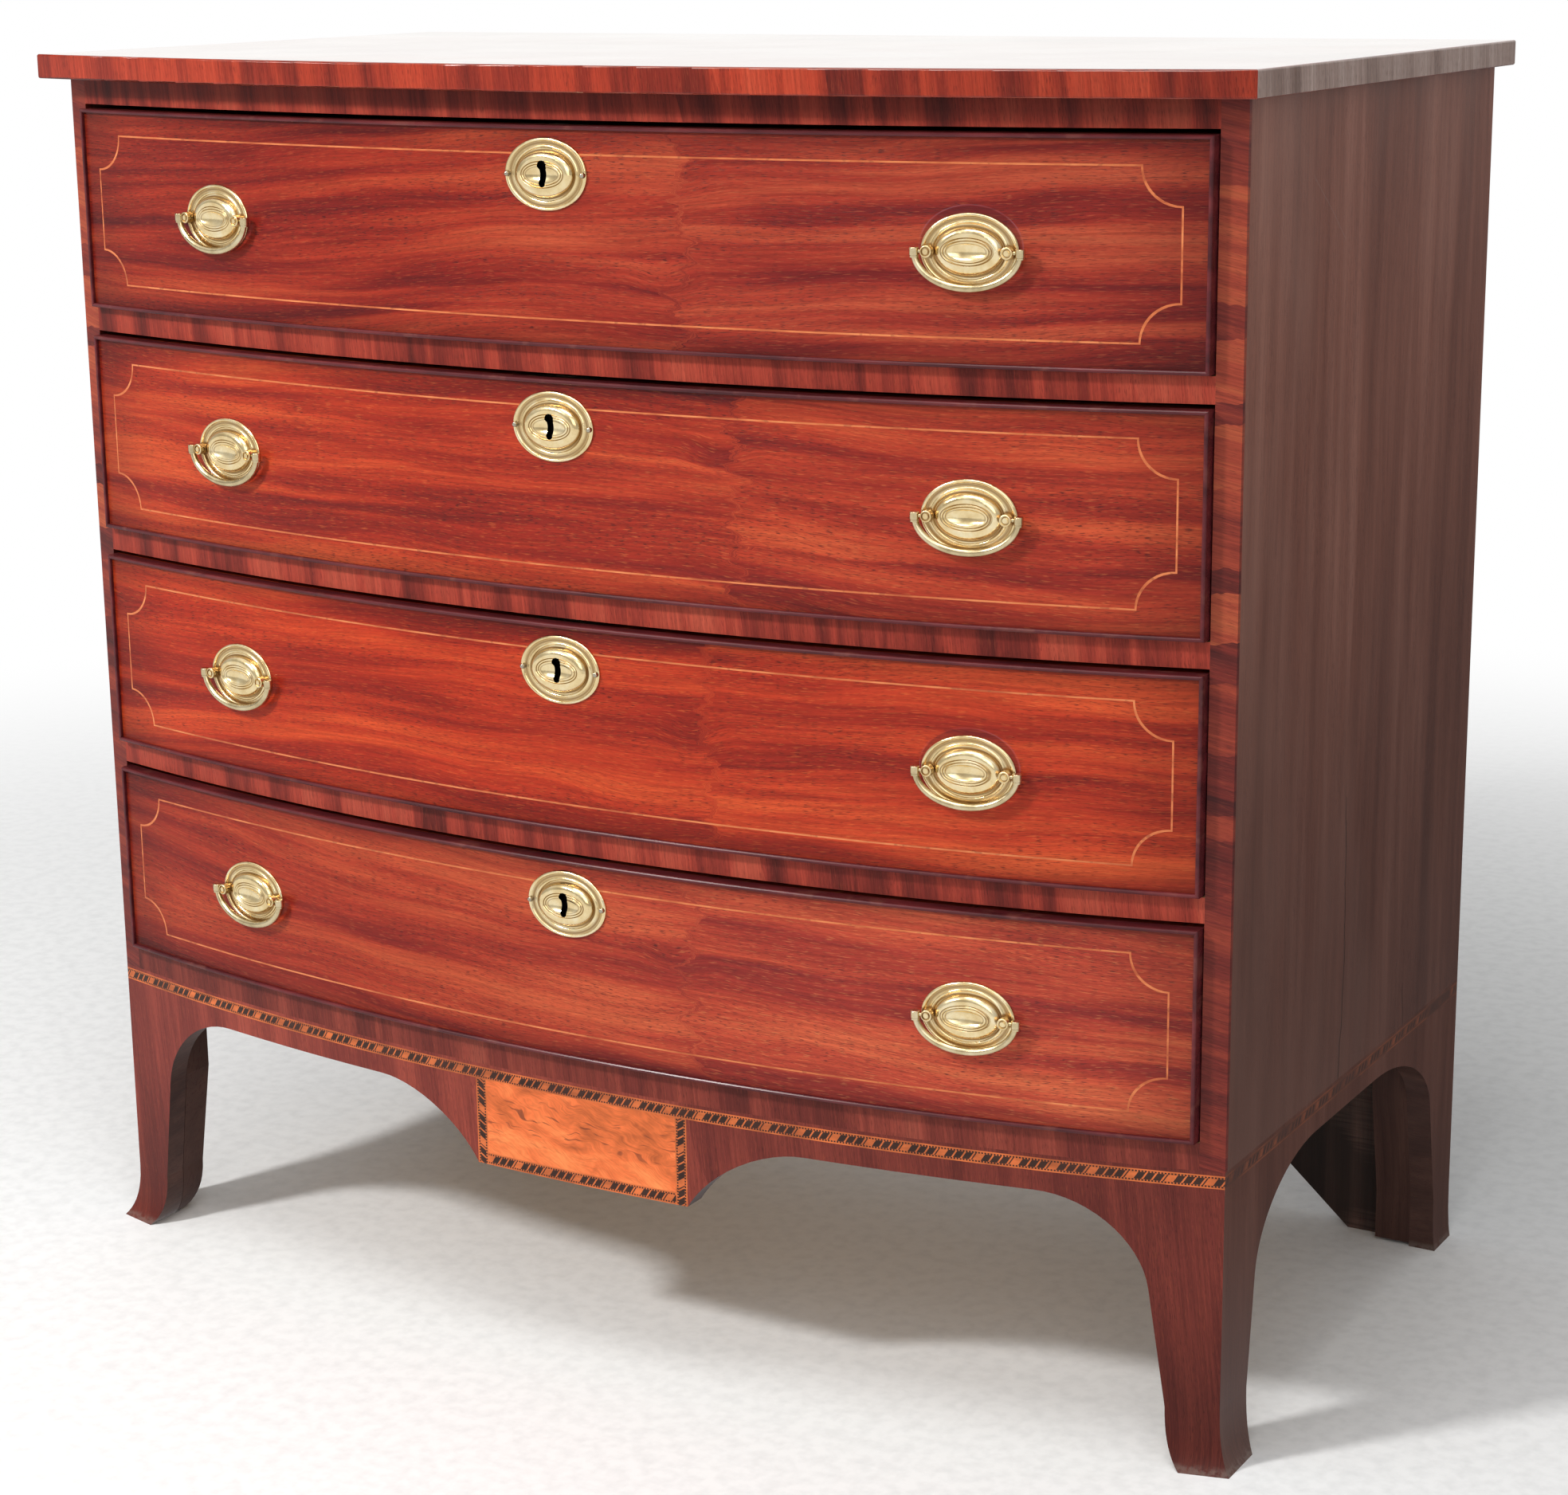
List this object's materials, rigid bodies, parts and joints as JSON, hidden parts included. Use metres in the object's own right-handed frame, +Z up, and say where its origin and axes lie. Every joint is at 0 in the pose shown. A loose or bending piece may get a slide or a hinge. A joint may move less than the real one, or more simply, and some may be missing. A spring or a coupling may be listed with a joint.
{
  "type": "bow front chest of drawers",
  "caption": "Chest of drawers with a bowed front, inlaid drawers on slides, swinging brass bails, locks and flared bracket feet under a shaped apron.",
  "frame": {"origin": "on the floor under the middle of the bounding box", "axes": "+X along the width to the right as seen from the front, +Y from front to back, +Z up"},
  "size_m": [1.044, 0.591, 0.997],
  "materials": {
    "apron_veneer": "polished",
    "back_pine": "raw, aged",
    "bail_brass": "polished, aged",
    "banding": "polished",
    "bolt_brass": "worn",
    "bottom_wood": "polished",
    "boxwood_line": "polished",
    "cockbead": "polished",
    "drawer_pine": "raw, aged",
    "drawer_veneer": "polished",
    "lock_iron": "dull",
    "panel_veneer": "polished",
    "pine": "raw, aged",
    "plate_brass": "polished, aged",
    "post_brass": "polished, aged",
    "rail_veneer": "polished",
    "side_apron_veneer": "polished",
    "side_wood": "polished",
    "stile_veneer": "polished",
    "top_wood": "polished"
  },
  "bodies": {
    "carcass": {"top_board": "top_wood", "right_side": "side_wood", "left_side": "side_wood", "corner_stiles": "stile_veneer", "top_rails": "rail_veneer", "drawer_dividers": "rail_veneer", "bottom_board": "bottom_wood", "drawer_runners": "pine", "drawer_stops": "pine", "backboards": "back_pine", "front_apron": "apron_veneer", "side_aprons": "side_apron_veneer", "rear_brackets": "back_pine", "glue_blocks": "pine", "inlay_banding": "banding", "apron_panel": "panel_veneer"},
    "drawer_1": {"drawer_1_front": "drawer_veneer", "drawer_1_cockbead": "cockbead", "drawer_1_box": "drawer_pine", "drawer_1_bottom": "drawer_pine", "drawer_1_stringing": "boxwood_line", "drawer_1_lock": "lock_iron", "drawer_1_plates": "plate_brass", "drawer_1_posts": "post_brass"},
    "drawer_1_bolt": {"drawer_1_lock_bolt": "bolt_brass"},
    "drawer_1_pull_left": {"drawer_1_bail_left": "bail_brass"},
    "drawer_1_pull_right": {"drawer_1_bail_right": "bail_brass"},
    "drawer_2": {"drawer_2_front": "drawer_veneer", "drawer_2_cockbead": "cockbead", "drawer_2_box": "drawer_pine", "drawer_2_bottom": "drawer_pine", "drawer_2_stringing": "boxwood_line", "drawer_2_lock": "lock_iron", "drawer_2_plates": "plate_brass", "drawer_2_posts": "post_brass"},
    "drawer_2_bolt": {"drawer_2_lock_bolt": "bolt_brass"},
    "drawer_2_pull_left": {"drawer_2_bail_left": "bail_brass"},
    "drawer_2_pull_right": {"drawer_2_bail_right": "bail_brass"},
    "drawer_3": {"drawer_3_front": "drawer_veneer", "drawer_3_cockbead": "cockbead", "drawer_3_box": "drawer_pine", "drawer_3_bottom": "drawer_pine", "drawer_3_stringing": "boxwood_line", "drawer_3_lock": "lock_iron", "drawer_3_plates": "plate_brass", "drawer_3_posts": "post_brass"},
    "drawer_3_bolt": {"drawer_3_lock_bolt": "bolt_brass"},
    "drawer_3_pull_left": {"drawer_3_bail_left": "bail_brass"},
    "drawer_3_pull_right": {"drawer_3_bail_right": "bail_brass"},
    "drawer_4": {"drawer_4_front": "drawer_veneer", "drawer_4_cockbead": "cockbead", "drawer_4_box": "drawer_pine", "drawer_4_bottom": "drawer_pine", "drawer_4_stringing": "boxwood_line", "drawer_4_lock": "lock_iron", "drawer_4_plates": "plate_brass", "drawer_4_posts": "post_brass"},
    "drawer_4_bolt": {"drawer_4_lock_bolt": "bolt_brass"},
    "drawer_4_pull_left": {"drawer_4_bail_left": "bail_brass"},
    "drawer_4_pull_right": {"drawer_4_bail_right": "bail_brass"}
  },
  "joints": [
    {"name": "drawer_1_slide", "type": "slide", "parent": "carcass", "child": "drawer_1", "axis": [0, -1, 0], "range_m": [0, 0.36]},
    {"name": "drawer_1_bolt_slide", "type": "slide", "parent": "drawer_1", "child": "drawer_1_bolt", "axis": [0, 0, 1], "range_m": [0, 0.009]},
    {"name": "drawer_1_pull_left_hinge", "type": "hinge", "parent": "drawer_1", "child": "drawer_1_pull_left", "pos_m": [-0.32708, -0.25937, 0.8752], "axis": [-0.9869, 0.1611, 0], "range_deg": [0, 130]},
    {"name": "drawer_1_pull_right_hinge", "type": "hinge", "parent": "drawer_1", "child": "drawer_1_pull_right", "pos_m": [0.32708, -0.25937, 0.8752], "axis": [-0.9869, -0.1611, 0], "range_deg": [0, 130]},
    {"name": "drawer_2_slide", "type": "slide", "parent": "carcass", "child": "drawer_2", "axis": [0, -1, 0], "range_m": [0, 0.36]},
    {"name": "drawer_2_bolt_slide", "type": "slide", "parent": "drawer_2", "child": "drawer_2_bolt", "axis": [0, 0, 1], "range_m": [0, 0.009]},
    {"name": "drawer_2_pull_left_hinge", "type": "hinge", "parent": "drawer_2", "child": "drawer_2_pull_left", "pos_m": [-0.32708, -0.25937, 0.6937], "axis": [-0.9869, 0.1611, 0], "range_deg": [0, 130]},
    {"name": "drawer_2_pull_right_hinge", "type": "hinge", "parent": "drawer_2", "child": "drawer_2_pull_right", "pos_m": [0.32708, -0.25937, 0.6937], "axis": [-0.9869, -0.1611, 0], "range_deg": [0, 130]},
    {"name": "drawer_3_slide", "type": "slide", "parent": "carcass", "child": "drawer_3", "axis": [0, -1, 0], "range_m": [0, 0.36]},
    {"name": "drawer_3_bolt_slide", "type": "slide", "parent": "drawer_3", "child": "drawer_3_bolt", "axis": [0, 0, 1], "range_m": [0, 0.009]},
    {"name": "drawer_3_pull_left_hinge", "type": "hinge", "parent": "drawer_3", "child": "drawer_3_pull_left", "pos_m": [-0.32708, -0.25937, 0.5122], "axis": [-0.9869, 0.1611, 0], "range_deg": [0, 130]},
    {"name": "drawer_3_pull_right_hinge", "type": "hinge", "parent": "drawer_3", "child": "drawer_3_pull_right", "pos_m": [0.32708, -0.25937, 0.5122], "axis": [-0.9869, -0.1611, 0], "range_deg": [0, 130]},
    {"name": "drawer_4_slide", "type": "slide", "parent": "carcass", "child": "drawer_4", "axis": [0, -1, 0], "range_m": [0, 0.36]},
    {"name": "drawer_4_bolt_slide", "type": "slide", "parent": "drawer_4", "child": "drawer_4_bolt", "axis": [0, 0, 1], "range_m": [0, 0.009]},
    {"name": "drawer_4_pull_left_hinge", "type": "hinge", "parent": "drawer_4", "child": "drawer_4_pull_left", "pos_m": [-0.32708, -0.25937, 0.3307], "axis": [-0.9869, 0.1611, 0], "range_deg": [0, 130]},
    {"name": "drawer_4_pull_right_hinge", "type": "hinge", "parent": "drawer_4", "child": "drawer_4_pull_right", "pos_m": [0.32708, -0.25937, 0.3307], "axis": [-0.9869, -0.1611, 0], "range_deg": [0, 130]}
  ]
}
